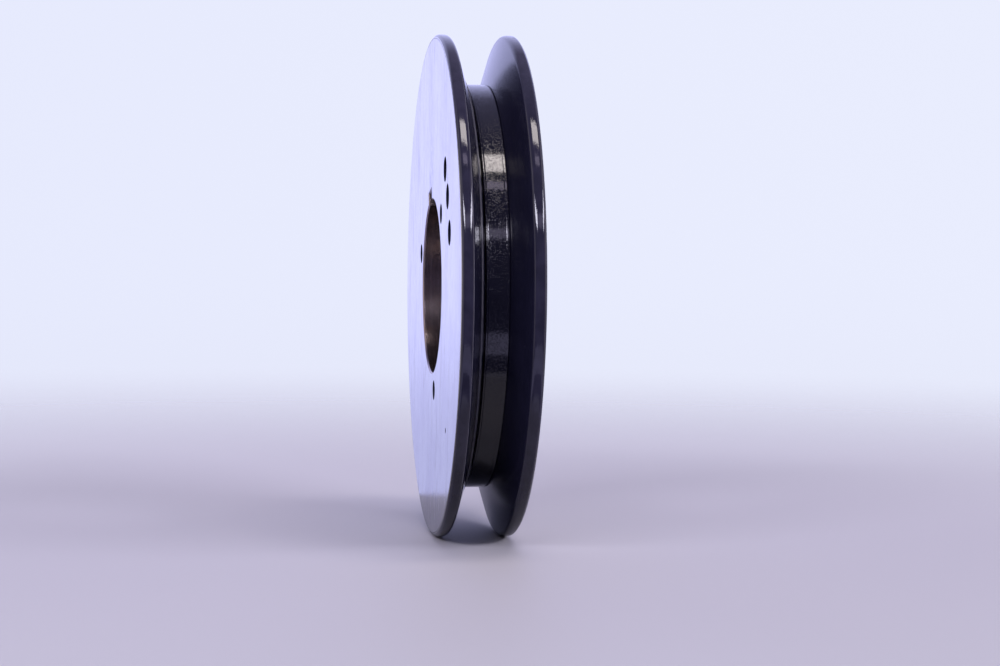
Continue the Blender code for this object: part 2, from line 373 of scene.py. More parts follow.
def bore_wall(low_y, high_y, low_grow, high_grow, finish=BORED):
    """Keyed bore wall with a chamfer at each end that has a grow."""
    loops, heights = [keyed_bore(low_grow)], [low_y]
    if low_grow:
        loops.append(keyed_bore())
        heights.append(low_y + low_grow)
    if high_grow:
        loops.append(keyed_bore())
        heights.append(high_y - high_grow)
    loops.append(keyed_bore(high_grow))
    heights.append(high_y)
    return sleeve(loops, heights, finish)


def drilled(centre, mouth_y, depth, radius, side):
    """A drilling with a broken edge and a pointed bottom, from a side face, in the painted-shade finish.
    """
    inward = -side
    tip = depth + radius / math.tan(DRILL_POINT)
    profile = np.array([(radius + BROKEN_EDGE, mouth_y), (radius, mouth_y + inward * BROKEN_EDGE),
                        (radius, mouth_y + inward * depth), (0.0, mouth_y + inward * tip)])
    return lathe(profile, HOLE_STEPS, centre, HOLE_SHADE_SLOT)


def make_front_flange(finishes):
    """The turned rim, with flat rings for the ground face and the mating face, both cut by the bore
    and the holes. The tapped holes, the dowels' blind holes, the drillings and the pit are turned
    about their own centres."""
    face = -FACE_Y
    mate = FRONT_MATE_Y
    screws = [on_circle(SCREW_CIRCLE_R, a) for a in SCREW_ANGLES]
    dowels = [on_circle(DOWEL_CIRCLE_R, a) for a in DOWEL_ANGLES]
    balance = [on_circle(BALANCE_CIRCLE_R, a) for a in BALANCE_ANGLES]
    pit = on_circle(PIT_CIRCLE_R, PIT_ANGLE)
    mouth_r = THREAD_MAJOR_R - 0.1 * MM
    dowel_r = DOWEL_R + DOWEL_PLAY

    recess = FACE_Y + RECESS_Y
    wall_end = LAND + (RIM_R - LEDGE_R) * math.tan(GROOVE_HALF_ANGLE)
    patches = outside(-1, [(LEDGE_R, wall_end, LEDGE_ROUNDING),
                           (LEDGE_R, recess, LEDGE_ROUNDING), (RECESS_R, recess, 0.1 * MM),
                           (RECESS_R, FACE_Y + mate, 0.0)])
    outer = circle(FACE_FLAT_R, RIM_STEPS)
    holes = [circle(mouth_r, HOLE_STEPS, c) for c in screws]
    holes += [circle(BALANCE_R + BROKEN_EDGE, HOLE_STEPS, c) for c in balance]
    holes.append(circle(PIT_R, 12, pit))
    patches.append(flat(face, [outer, keyed_bore(BORE_CHAMFER)] + holes, BARE))
    holes = [circle(thread_middle(), HOLE_STEPS, c) for c in screws]
    holes += [circle(dowel_r, HOLE_STEPS, c) for c in dowels]
    patches.append(flat(mate, [circle(RECESS_R, RIM_STEPS), keyed_bore()] + holes, BORED))
    patches.append(bore_wall(face, mate, BORE_CHAMFER, 0.0))
    for centre in screws:
        start = face + (mouth_r - thread_middle())
        rings = thread(start, mate, centre)
        rings = np.concatenate((ring(circle(mouth_r, HOLE_STEPS, centre), face)[None], rings))
        patches.append(skin(rings, HOLE_SHADE_SLOT))
    for centre in dowels:
        bottom = mate - DOWEL_BLIND
        profile = np.array([(dowel_r, mate), (dowel_r, bottom), (0.0, bottom)])
        patches.append(lathe(profile, HOLE_STEPS, centre, BORED))
    patches += [drilled(c, face, BALANCE_DEPTH, BALANCE_R, -1) for c in balance]
    hollow = np.array([(PIT_R, face), (0.7 * PIT_R, face + 0.7 * PIT_DEPTH), (0.0, face + PIT_DEPTH)])
    patches.append(lathe(hollow, 12, pit, HOLE_SHADE_SLOT))
    return piece("front_flange_turned", patches, finishes, "front_flange")


def make_back_flange(finishes):
    """The turned rim and two flat rings, as at the front. Each screw's counterbore and clearance hole
    is one stepped turned wall, and each dowel's hole goes right through."""
    screws = [on_circle(SCREW_CIRCLE_R, a) for a in SCREW_ANGLES]
    dowels = [on_circle(DOWEL_CIRCLE_R, a) for a in DOWEL_ANGLES]
    dowel_r = DOWEL_R + DOWEL_PLAY
    edge = BACK_BROKEN_EDGE
    step_y = FACE_Y - COUNTERBORE_DEPTH

    foot = FACE_Y - BACK_MATE_Y
    foot_r = RIM_R - (foot - LAND) / math.tan(GROOVE_HALF_ANGLE)
    patches = outside(1, [(foot_r, foot, 0.0)])
    outer = circle(FACE_FLAT_R, RIM_STEPS)
    holes = [circle(COUNTERBORE_R + edge, HOLE_STEPS, c) for c in screws]
    holes += [circle(dowel_r + edge, HOLE_STEPS, c) for c in dowels]
    patches.append(flat(FACE_Y, [outer, keyed_bore(BORE_CHAMFER)] + holes, BARE))
    holes = [circle(CLEARANCE_R, HOLE_STEPS, c) for c in screws]
    holes += [circle(dowel_r, HOLE_STEPS, c) for c in dowels]
    patches.append(flat(BACK_MATE_Y, [circle(foot_r, RIM_STEPS), keyed_bore()] + holes, BORED))
    patches.append(bore_wall(BACK_MATE_Y, FACE_Y, 0.0, BORE_CHAMFER))
    for centre in screws:
        profile = np.array([(COUNTERBORE_R + edge, FACE_Y), (COUNTERBORE_R, FACE_Y - edge),
                            (COUNTERBORE_R, step_y), (CLEARANCE_R, step_y), (CLEARANCE_R, BACK_MATE_Y)])
        patches.append(lathe(profile, HOLE_STEPS, centre, BORED))
    for centre in dowels:
        profile = np.array([(dowel_r + edge, FACE_Y), (dowel_r, FACE_Y - edge), (dowel_r, BACK_MATE_Y)])
        patches.append(lathe(profile, HOLE_STEPS, centre, BORED))
    return piece("back_flange_turned", patches, finishes, "back_flange")


# ---------------------------------------------------------------- spacer

def rough_skin(rows, steps, pitch, coarse, seed):
    """Heights of a rough painted casting skin: seeded random numbers, filtered so that bumps about
    one coarse length wide stay, and closed round the band. Mean 0, spread 1."""
    draw = np.random.default_rng(seed).standard_normal((rows * 2, steps))
    along = np.fft.rfftfreq(steps, pitch)[None]
    across = np.fft.fftfreq(rows * 2, pitch)[:, None]
    size = np.hypot(along, across) * coarse
    keep = size * np.exp(-(size ** 2) / 2)
    heights = np.fft.irfft2(np.fft.rfft2(draw) * keep, s=draw.shape)[:rows]
    return heights / heights.std()


def band_line():
    """The spacer's rim as (radius, y). Each shoulder is half an ellipse SHOULDER wide; beside it a
    seam dips by a bell curve below the level band."""
    across = np.linspace(0.0, 1.0, SHOULDER_ROWS)
    bulge = SHOULDER_DROP * (1.0 - np.sqrt(1.0 - (0.97 * (2.0 * across - 1.0)) ** 2))
    start, end = SPACER_FRONT_Y + SHOULDER, SPACER_BACK_Y - SHOULDER
    rows = np.linspace(start, end, BAND_ROWS + 1)[1:-1]
    dip = FRONT_SEAM * np.exp(-((rows - start) / FRONT_SEAM_WIDTH) ** 2)
    dip += BACK_SEAM * np.exp(-((end - rows) / BACK_SEAM_WIDTH) ** 2)
    y = np.concatenate((SPACER_FRONT_Y + SHOULDER * across, rows, end + SHOULDER * across))
    return np.column_stack((FLOOR_R - np.concatenate((bulge, BAND_SUNK + dip, bulge * BACK_ROUNDING)), y))


def make_spacer(finishes):
    """The band's radius is its line's radius less a rough skin that fades out at the shoulders."""
    line = band_line()
    inner_r = FLOOR_R - BAND_THICKNESS
    line = np.concatenate(([(inner_r, SPACER_FRONT_Y)], line, [(inner_r, SPACER_BACK_Y)]))
    verts, quads, finish, worn = lathe(line, BAND_STEPS)
    rings = verts.reshape(len(line), BAND_STEPS, 3)
    pitch = math.tau * FLOOR_R / BAND_STEPS
    first = 1 + SHOULDER_ROWS
    band = slice(first, first + BAND_ROWS - 1)
    grain = rough_skin(BAND_ROWS - 1, BAND_STEPS, pitch, GRAIN, seed=11)
    swell = rough_skin(BAND_ROWS - 1, BAND_STEPS, pitch, SWELL, seed=12)
    rows = line[band, 1]
    room = np.minimum(rows - rows[0], rows[-1] - rows)
    fade = np.clip(room / SKIN_FADE, 0.0, 1.0)[:, None]
    lift = (GRAIN_LIFT * grain + SWELL_LIFT * swell).clip(-SKIN_LIMIT, SKIN_LIMIT) * fade
    rings[band][..., ::2] *= (1 + lift / FLOOR_R)[..., None]
    screws = [on_circle(SCREW_CIRCLE_R, a) for a in SCREW_ANGLES]
    dowels = [on_circle(DOWEL_CIRCLE_R, a) for a in DOWEL_ANGLES]
    dowel_r = DOWEL_R + DOWEL_PLAY
    patches = [(rings.reshape(-1, 3), quads, finish, worn)]
    for y in (SPACER_FRONT_Y, SPACER_BACK_Y):
        holes = [circle(CLEARANCE_R, HOLE_STEPS, c) for c in screws]
        holes += [circle(dowel_r, HOLE_STEPS, c) for c in dowels]
        patches.append(flat(y, [circle(inner_r, BAND_STEPS), keyed_bore()] + holes, 1))
    patches.append(bore_wall(SPACER_FRONT_Y, SPACER_BACK_Y, 0.0, 0.0, 1))
    for radius, centres in ((CLEARANCE_R, screws), (dowel_r, dowels)):
        for centre in centres:
            wall = np.array([(radius, SPACER_FRONT_Y), (radius, SPACER_BACK_Y)])
            patches.append(lathe(wall, HOLE_STEPS, centre, 1))
    return piece("spacer_disc_cast", patches, finishes, "spacer_disc")


# ---------------------------------------------------------------- fasteners

def make_screw(number, angle, finish):
    """Low-head cap screw: a turned head with a hexagon socket, a plain shank and a real thread."""
    centre = on_circle(SCREW_CIRCLE_R, angle)
    top, seat, end = SCREW_TOP_Y, WASHER_TOP_Y + 0.3 * MM, SCREW_END_Y
    middle = thread_middle(THREAD_PLAY)
    socket = hexagon(SOCKET_FLATS, HOLE_STEPS) + centre
    lead_in = 0.35 * MM
    head, _ = rounded([(HEAD_R - 1.4 * MM, top, 0.0), (HEAD_R - 0.9 * MM, top, 0.12 * MM),
                       (HEAD_R, top - 0.9 * MM, 0.3 * MM), (HEAD_R, seat, 0.15 * MM),
                       (SHANK_R, seat, 0.0), (SHANK_R, FRONT_MATE_Y + 0.3 * MM, 0.0),
                       (middle, FRONT_MATE_Y - 0.3 * MM, 0.0)])
    tip, _ = rounded([(middle, end + 0.9 * MM, 0.0), (THREAD_MINOR_R - 0.6 * MM, end, 0.15 * MM),
                      (0.0, end, 0.0)])
    threads = thread(end + 0.9 * MM, FRONT_MATE_Y - 0.3 * MM, centre, THREAD_PLAY)
    countersunk = (socket - centre) * (1 + lead_in / (SOCKET_FLATS / 2)) + centre
    bottom = top - SOCKET_DEPTH
    patches = [
        lathe(head, HOLE_STEPS, centre),
        skin(threads),
        lathe(tip, HOLE_STEPS, centre),
        flat(top, [circle(HEAD_R - 1.4 * MM, HOLE_STEPS, centre), countersunk]),
        sleeve([countersunk, socket, socket], [top, top - lead_in, bottom]),
        skin(np.stack([ring(socket, bottom), np.tile((centre[0], bottom - 1.6 * MM, centre[1]),
                                                     (HOLE_STEPS, 1))])),
    ]
    name = f"clamp_screw_{number}"
    return piece(f"cap_screw_{number}", patches, [finish], name)


def make_washer(number, angle, finish):
    """Split spring washer: a rounded square section carried along an arc that stops short of a turn
    by the slit, and closed at both ends."""
    centre = on_circle(SCREW_CIRCLE_R, angle)
    inner, outer = SHANK_R + 0.3 * MM, HEAD_R
    corners = [(inner, WASHER_LOW_Y), (outer, WASHER_LOW_Y), (outer, WASHER_TOP_Y), (inner, WASHER_TOP_Y)]
    soft = [(*p, 0.2 * MM) for p in corners]
    section, _ = rounded(soft, steps=3)
    half_slit = math.asin(WASHER_SLIT / 2 / outer)
    turn = angle + np.linspace(half_slit, math.tau - half_slit, 90)
    path = np.empty((len(turn), len(section), 3))
    path[..., 0] = centre[0] + section[:, 0] * np.cos(turn)[:, None]
    path[..., 1] = section[:, 1]
    path[..., 2] = centre[1] + section[:, 0] * np.sin(turn)[:, None]
    verts, quads, finish_index, worn = skin(path)
    last = len(verts) - len(section)
    caps = np.array([np.arange(len(section)), np.arange(len(section)) + last])
    name = f"lock_washer_{number}"
    patches = [(verts, quads, finish_index, worn), (verts, caps, finish_index, worn)]
    return piece(f"split_washer_{number}", patches, [finish], name)


def make_dowel(number, angle, finish):
    """Ground dowel: a cylinder with a domed, chamfered end at the back and a plain chamfer inside."""
    centre = on_circle(DOWEL_CIRCLE_R, angle)
    line, _ = rounded([(0.0, DOWEL_LOW_Y, 0.0), (DOWEL_R - 0.6 * MM, DOWEL_LOW_Y, 0.1 * MM),
                       (DOWEL_R, DOWEL_LOW_Y + 0.6 * MM, 0.15 * MM),
                       (DOWEL_R, DOWEL_TOP_Y - 0.8 * MM, 0.3 * MM),
                       (DOWEL_R - 0.7 * MM, DOWEL_TOP_Y - 0.2 * MM, 0.3 * MM), (0.0, DOWEL_TOP_Y, 0.0)])
    return piece(f"ground_dowel_{number}", [lathe(line, HOLE_STEPS, centre)], [finish],
                 f"dowel_pin_{number}")


# ---------------------------------------------------------------- shader building blocks

def add(tree, kind, inputs=(), **settings):
    """A shader node with its settings, and its inputs set to values or joined to sockets."""
    made = tree.nodes.new(kind)
    for key, value in settings.items():
        setattr(made, key, value)
    for key, value in dict(inputs).items():
        if isinstance(value, bpy.types.NodeSocket):
            tree.links.new(value, made.inputs[key])
        else:
            made.inputs[key].default_value = value
    return made


def calc(tree, operation, first, second=0.0, third=0.0):
    """One step of arithmetic on up to three values."""
    made = add(tree, "ShaderNodeMath", {0: first, 1: second, 2: third}, operation=operation)
    return made.outputs[0]


def ramp(tree, value, low, high, to_low=0.0, to_high=1.0):
    """A smooth step of a value from low to high."""
    made = add(tree, "ShaderNodeMapRange", {"Value": value, "From Min": low, "From Max": high,
                                            "To Min": to_low, "To Max": to_high},
               interpolation_type="SMOOTHSTEP")
    return made.outputs["Result"]


def blend(tree, factor, first, second):
    """A colour between two others: the first at factor 0, the second at 1."""
    made = add(tree, "ShaderNodeMix", {0: factor, 6: first, 7: second}, data_type="RGBA")
    return made.outputs[2]


def group(name, inputs, outputs):
    """An empty node group with named float inputs and outputs."""
    tree = bpy.data.node_groups.new(name, "ShaderNodeTree")
    for label, value in inputs.items():
        made = tree.interface.new_socket(label, in_out="INPUT", socket_type="NodeSocketFloat")
        made.default_value = value
    for label in outputs:
        tree.interface.new_socket(label, in_out="OUTPUT", socket_type="NodeSocketFloat")
    given = tree.nodes.new("NodeGroupInput").outputs
    result = tree.nodes.new("NodeGroupOutput").inputs
    return tree, given, result


def place(tree, made, **inputs):
    """A node group placed in a material, with its inputs by name (an underscore for each space)."""
    return add(tree, "ShaderNodeGroup", {k.replace("_", " "): v for k, v in inputs.items()},
               node_tree=made).outputs


def turning_marks_group():
    """Fine rings left by a lathe tool: noise of the distance from the axis and of the height along
    it, which hardly changes round the axis. Height and Streak run from 0 to 1."""
    tree, given, result = group("turning_marks", {"Pitch": 0.0006, "Wander": 2.0}, ("Height", "Streak"))
    where = add(tree, "ShaderNodeTexCoord").outputs["Object"]
    part = add(tree, "ShaderNodeSeparateXYZ", {0: where}).outputs
    flat_part = add(tree, "ShaderNodeCombineXYZ", {"X": part["X"], "Z": part["Z"]}).outputs[0]
    radius = add(tree, "ShaderNodeVectorMath", {0: flat_part}, operation="LENGTH").outputs["Value"]
    rings = calc(tree, "DIVIDE", radius, given["Pitch"])
    rows = calc(tree, "DIVIDE", part["Y"], given["Pitch"])
    cos = calc(tree, "MULTIPLY", calc(tree, "DIVIDE", part["X"], radius), given["Wander"])
    sin = calc(tree, "MULTIPLY", calc(tree, "DIVIDE", part["Z"], radius), given["Wander"])
    spot = add(tree, "ShaderNodeCombineXYZ", {"X": rings, "Y": rows, "Z": cos}).outputs[0]
    fine = add(tree, "ShaderNodeTexNoise", {"Vector": spot, "W": sin, "Scale": 1.0, "Detail": 1.0},
               noise_dimensions="4D").outputs["Fac"]
    wide = add(tree, "ShaderNodeTexNoise", {"Vector": spot, "W": sin, "Scale": 0.21, "Detail": 2.0},
               noise_dimensions="4D").outputs["Fac"]
    tree.links.new(fine, result["Height"])
    tree.links.new(ramp(tree, wide, 0.36, 0.64), result["Streak"])
    return tree


def scratches_group():
    """Sparse fine scratches: noise stretched along one direction on the side face, kept where it is
    near its middle value, and broken up by a second noise. Angle turns them about the axis."""
    tree, given, result = group("scratches", {"Angle": 0.0, "Spacing": 0.004, "Length": 20.0,
                                              "Fineness": 0.01}, ("Mask",))
    where = add(tree, "ShaderNodeTexCoord").outputs["Object"]
    turned = add(tree, "ShaderNodeVectorRotate", {"Vector": where, "Axis": (0, 1, 0),
                                                  "Angle": given["Angle"]}, rotation_type="AXIS_ANGLE")
    part = add(tree, "ShaderNodeSeparateXYZ", {0: turned.outputs[0]}).outputs
    along = calc(tree, "DIVIDE", part["X"], calc(tree, "MULTIPLY", given["Spacing"], given["Length"]))
    across = calc(tree, "DIVIDE", part["Z"], given["Spacing"])
    depth = calc(tree, "DIVIDE", part["Y"], given["Spacing"])
    spot = add(tree, "ShaderNodeCombineXYZ", {"X": along, "Y": depth, "Z": across}).outputs[0]
    lines = add(tree, "ShaderNodeTexNoise", {"Vector": spot, "Scale": 1.0, "Detail": 2.0}).outputs["Fac"]
    gate = add(tree, "ShaderNodeTexNoise", {"Vector": spot, "Scale": 0.37, "Detail": 1.0}).outputs["Fac"]
    off = calc(tree, "ABSOLUTE", calc(tree, "SUBTRACT", lines, 0.5))
    line = calc(tree, "SUBTRACT", 1.0, ramp(tree, off, 0.0, given["Fineness"]))
    tree.links.new(calc(tree, "MULTIPLY", line, ramp(tree, gate, 0.5, 0.62)), result["Mask"])
    return tree


def mottling_group():
    """Soft uneven patches of two sizes, from 0 to 1."""
    tree, given, result = group("mottling", {"Size": 0.02, "Contrast": 1.0}, ("Patch",))
    where = add(tree, "ShaderNodeTexCoord").outputs["Object"]
    scale = calc(tree, "DIVIDE", 1.0, given["Size"])
    noise = add(tree, "ShaderNodeTexNoise", {"Vector": where, "Scale": scale, "Detail": 4.0,
                                             "Roughness": 0.6}).outputs["Fac"]
    centred = calc(tree, "MULTIPLY", calc(tree, "SUBTRACT", noise, 0.5), given["Contrast"])
    tree.links.new(calc(tree, "ADD", centred, 0.5, 0.0), result["Patch"])
    return tree


def specks_group():
    """Small round specks of random size, each round the middle of a cell, as a mask."""
    tree, given, result = group("specks", {"Spacing": 0.006, "Size": 0.05}, ("Mask",))
    where = add(tree, "ShaderNodeTexCoord").outputs["Object"]
    scale = calc(tree, "DIVIDE", 1.0, given["Spacing"])
    cells = add(tree, "ShaderNodeTexVoronoi", {"Vector": where, "Scale": scale}).outputs
    part = add(tree, "ShaderNodeSeparateXYZ", {0: cells["Color"]}).outputs
    chance = calc(tree, "POWER", part["X"], 3.0)
    reach = calc(tree, "MULTIPLY", chance, given["Size"])
    inner = calc(tree, "MULTIPLY", reach, 0.6)
    tree.links.new(calc(tree, "SUBTRACT", 1.0, ramp(tree, cells["Distance"], inner, reach)),
                   result["Mask"])
    return tree


def wear_group():
    """Paint rubbed off round corners: the mesh's worn attribute, eaten into by noise."""
    tree, given, result = group("edge_wear", {"Amount": 0.5, "Size": 0.002}, ("Mask",))
    worn = add(tree, "ShaderNodeAttribute", attribute_name="worn").outputs["Fac"]
    where = add(tree, "ShaderNodeTexCoord").outputs["Object"]
    scale = calc(tree, "DIVIDE", 1.0, given["Size"])
    noise = add(tree, "ShaderNodeTexNoise", {"Vector": where, "Scale": scale, "Detail": 4.0,
                                             "Roughness": 0.65}).outputs["Fac"]
    raised = calc(tree, "ADD", noise, calc(tree, "SUBTRACT", given["Amount"], 0.5))
    edge = calc(tree, "MULTIPLY", worn, raised)
    tree.links.new(ramp(tree, edge, 0.5, 0.62), result["Mask"])
    return tree


MARKS = turning_marks_group()
SCRATCHES = scratches_group()
MOTTLING = mottling_group()
SPECKS = specks_group()
WEAR = wear_group()


def material(name):
    """A new material, its node tree and its shader."""
    made = bpy.data.materials.new(name)
    made.use_nodes = True
    tree = made.node_tree
    return made, tree, tree.nodes["Principled BSDF"]


def finish_with(tree, shader, colour, roughness, height, depth, metallic):
    """Join a material's colour, roughness and height (with its depth in metres) to its shader."""
    tree.links.new(colour, shader.inputs["Base Color"])
    tree.links.new(roughness, shader.inputs["Roughness"])
    if isinstance(metallic, bpy.types.NodeSocket):
        tree.links.new(metallic, shader.inputs["Metallic"])
    else:
        shader.inputs["Metallic"].default_value = metallic
    bump = add(tree, "ShaderNodeBump", {"Height": height, "Distance": depth, "Strength": 1.0})
    tree.links.new(bump.outputs[0], shader.inputs["Normal"])


def near_spot(tree, spot, reach, squash=(1.0, 1.0, 1.0)):
    """A soft round mask about a place in the object's own frame, wider along each squashed axis."""
    where = add(tree, "ShaderNodeTexCoord").outputs["Object"]
    off = add(tree, "ShaderNodeVectorMath", {0: where, 1: spot}, operation="SUBTRACT").outputs[0]
    off = add(tree, "ShaderNodeVectorMath", {0: off, 1: squash}, operation="MULTIPLY").outputs[0]
    far = add(tree, "ShaderNodeVectorMath", {0: off}, operation="LENGTH").outputs["Value"]
    return ramp(tree, far, reach, reach * 0.3)


def ground_steel():
    """Bare ground face: cool grey steel with grinding streaks, soft stains, faint scratches, a few
    specks, and a grey smudge above the keyway."""
    made, tree, shader = material("ground_steel_bare")
    patch = place(tree, MOTTLING, Size=0.035, Contrast=1.5)["Patch"]
    fine_patch = place(tree, MOTTLING, Size=0.006, Contrast=1.2)["Patch"]
    streaks = place(tree, SCRATCHES, Angle=math.radians(90.0), Spacing=0.0060, Length=7.0,
                    Fineness=0.10)["Mask"]
    long_lines = place(tree, SCRATCHES, Angle=math.radians(86.0), Spacing=0.0032, Length=30.0,
                       Fineness=0.030)["Mask"]
    cross_lines = place(tree, SCRATCHES, Angle=math.radians(58.0), Spacing=0.0055, Length=22.0,
                        Fineness=0.008)["Mask"]
    specks = place(tree, SPECKS, Spacing=0.013, Size=0.085)["Mask"]
    lay = place(tree, SCRATCHES, Angle=math.radians(90.0), Spacing=0.0009, Length=60.0,
                Fineness=0.2)["Mask"]
    smudge = near_spot(tree, SMUDGE, 0.016, (1.0, 1.0, 0.45))
    smudge = calc(tree, "MULTIPLY", smudge, ramp(tree, fine_patch, 0.30, 0.75))
    clean = (0.665, 0.67, 0.615, 1.0)
    stained = (0.57, 0.56, 0.55, 1.0)
    colour = blend(tree, ramp(tree, patch, 0.25, 0.75), stained, clean)
    colour = blend(tree, calc(tree, "MULTIPLY", streaks, 0.45), colour, (0.48, 0.47, 0.49, 1.0))
    colour = blend(tree, calc(tree, "MULTIPLY", lay, 0.35), colour, (0.50, 0.49, 0.51, 1.0))
    colour = blend(tree, calc(tree, "MULTIPLY", long_lines, 0.60), colour, (0.40, 0.38, 0.41, 1.0))
    colour = blend(tree, calc(tree, "MULTIPLY", smudge, 0.95), colour, (0.30, 0.31, 0.36, 1.0))
    colour = blend(tree, specks, colour, (0.12, 0.11, 0.14, 1.0))
    roughness = calc(tree, "MULTIPLY_ADD", fine_patch, 0.10, 0.12)
    lines = calc(tree, "ADD", long_lines, cross_lines)
    roughness = calc(tree, "MULTIPLY_ADD", lines, 0.12, roughness)
    roughness = calc(tree, "MULTIPLY_ADD", streaks, 0.05, roughness)
    height = calc(tree, "MULTIPLY_ADD", lay, 0.25, calc(tree, "MULTIPLY", specks, -1.0))
    height = calc(tree, "SUBTRACT", height, calc(tree, "MULTIPLY", lines, 0.5))
    finish_with(tree, shader, colour, roughness, height, 0.000006, 1.0)
    return made


def gloss_paint():
    """Glossy blue-black over a faintly rippled turned land, rubbed through here and there on its
    corners, with one dark nick."""
    made, tree, shader = material("black_paint_gloss")
    marks = place(tree, MARKS, Pitch=0.00042, Wander=1.6)
    patch = place(tree, MOTTLING, Size=0.012, Contrast=1.4)["Patch"]
    ripple = place(tree, MOTTLING, Size=0.0030, Contrast=1.0)["Patch"]
    specks = place(tree, SPECKS, Spacing=0.0075, Size=0.07)["Mask"]
    specks = calc(tree, "MAXIMUM", specks, near_spot(tree, NICK, 0.0016))
    wear = place(tree, WEAR, Amount=0.30, Size=0.0022)["Mask"]
    deep, thin = (0.018, 0.017, 0.030, 1.0), (0.026, 0.024, 0.042, 1.0)
    colour = blend(tree, ramp(tree, patch, 0.3, 0.7), deep, thin)
    colour = blend(tree, specks, colour, (0.0040, 0.0040, 0.0050, 1.0))
    colour = blend(tree, wear, colour, (0.30, 0.29, 0.35, 1.0))
    roughness = calc(tree, "MULTIPLY_ADD", patch, 0.06, 0.035)
    roughness = calc(tree, "MULTIPLY_ADD", calc(tree, "ADD", specks, wear), 0.25, roughness)
    height = calc(tree, "MULTIPLY_ADD", ripple, 1.0, calc(tree, "MULTIPLY", marks["Height"], 0.10))
    height = calc(tree, "MULTIPLY_ADD", specks, -0.5, height)
    bare = calc(tree, "MULTIPLY", wear, 0.9)
    finish_with(tree, shader, colour, roughness, height, 0.000045, bare)
    return made


def wall_paint(name, dark, light, roughest, wear_amount, specular):
    """Blue-black groove wall: an even fine grain, faint rings, a few dark specks, and grey metal
    where its corners are rubbed. A rougher wall has a deeper grain."""
    made, tree, shader = material(name)
    marks = place(tree, MARKS, Pitch=0.00060, Wander=1.0)
    grain = place(tree, MOTTLING, Size=0.0010, Contrast=1.0)["Patch"]
    patch = place(tree, MOTTLING, Size=0.014, Contrast=1.4)["Patch"]
    specks = place(tree, SPECKS, Spacing=0.0065, Size=0.06)["Mask"]
    wear = place(tree, WEAR, Amount=wear_amount, Size=0.0022)["Mask"]
    colour = blend(tree, patch, (*dark, 1.0), (*light, 1.0))
    colour = blend(tree, specks, colour, (0.0040, 0.0040, 0.0050, 1.0))
    colour = blend(tree, wear, colour, (0.20, 0.195, 0.22, 1.0))
    roughness = calc(tree, "MULTIPLY_ADD", grain, roughest * 0.5, roughest * 0.5)
    roughness = calc(tree, "MULTIPLY_ADD", calc(tree, "ADD", specks, wear), 0.25, roughness)
    height = calc(tree, "MULTIPLY_ADD", grain, 1.0, calc(tree, "MULTIPLY", marks["Height"], 0.12))
    finish_with(tree, shader, colour, roughness, height, roughest * 0.00014, 0.0)
    shader.inputs["Specular IOR Level"].default_value = specular
    return made


def rough_paint():
    """Glossy black over a rough skin: flat-topped islands with steep sides, and a few pimples."""
    made, tree, shader = material("black_paint_rough")
    where = add(tree, "ShaderNodeTexCoord").outputs["Object"]
    peel = add(tree, "ShaderNodeTexNoise", {"Vector": where, "Scale": 900.0, "Detail": 2.0,
                                            "Roughness": 0.5}).outputs["Fac"]
    islands = ramp(tree, peel, 0.39, 0.47)
    pimples = place(tree, SPECKS, Spacing=0.0016, Size=0.34)["Mask"]
    patch = place(tree, MOTTLING, Size=0.010, Contrast=1.5)["Patch"]
    dust = place(tree, SPECKS, Spacing=0.0035, Size=0.10)["Mask"]
    colour = blend(tree, patch, (0.0030, 0.0028, 0.0070, 1.0), (0.0065, 0.0060, 0.0130, 1.0))
    colour = blend(tree, calc(tree, "MULTIPLY", dust, 0.4), colour, (0.10, 0.095, 0.12, 1.0))
    roughness = calc(tree, "MULTIPLY_ADD", patch, 0.06, 0.04)
    height = calc(tree, "MULTIPLY_ADD", pimples, 0.90, islands)
    finish_with(tree, shader, colour, roughness, height, 0.000030, 0.0)
    shader.inputs["IOR"].default_value = 1.63
    return made


def bored_steel():
    """Machined bore: dull brownish steel whose fine bored rings spread light along the axis, with tool
    bands and a few rust-brown stains."""
    made, tree, shader = material("bored_steel")
    marks = place(tree, MARKS, Pitch=0.00030, Wander=0.4)
    patch = place(tree, MOTTLING, Size=0.018, Contrast=1.8)["Patch"]
    colour = blend(tree, marks["Streak"], (0.270, 0.225, 0.225, 1.0), (0.380, 0.325, 0.320, 1.0))
    colour = blend(tree, ramp(tree, patch, 0.45, 0.9), colour, (0.260, 0.190, 0.165, 1.0))
    roughness = calc(tree, "MULTIPLY_ADD", patch, 0.10, 0.17)
    finish_with(tree, shader, colour, roughness, marks["Height"], 0.00004, 1.0)
    return made


def painted_hole_shade():
    """Inside of a drilling, coloured almost black as painted shade for the dark hollow, with drill rings
    that barely show.
    """
    made, tree, shader = material("painted_hole_shade")
    marks = place(tree, MARKS, Pitch=0.0005, Wander=1.0)
    patch = place(tree, MOTTLING, Size=0.003, Contrast=1.6)["Patch"]
    # painted shade: the near-black colour stands in for the shade deep inside the holes
    colour = blend(tree, patch, (0.0040, 0.0045, 0.0130, 1.0), (0.0090, 0.0100, 0.0260, 1.0))
    roughness = calc(tree, "MULTIPLY_ADD", patch, 0.2, 0.42)
    finish_with(tree, shader, colour, roughness, marks["Height"], 0.00002, 0.0)
    shader.inputs["Specular IOR Level"].default_value = 0.2
    return made


def plain_metal(name, dark, light, rough, ring_pitch, depth):
    """Fastener steel: two close colours in patches, turning marks and its own roughness."""
    made, tree, shader = material(name)
    marks = place(tree, MARKS, Pitch=ring_pitch, Wander=3.0)
    patch = place(tree, MOTTLING, Size=0.004, Contrast=1.6)["Patch"]
    colour = blend(tree, patch, (*dark, 1.0), (*light, 1.0))
    roughness = calc(tree, "MULTIPLY_ADD", patch, 0.16, rough)
    finish_with(tree, shader, colour, roughness, marks["Height"], depth, 1.0)
    return made


# ---------------------------------------------------------------- studio

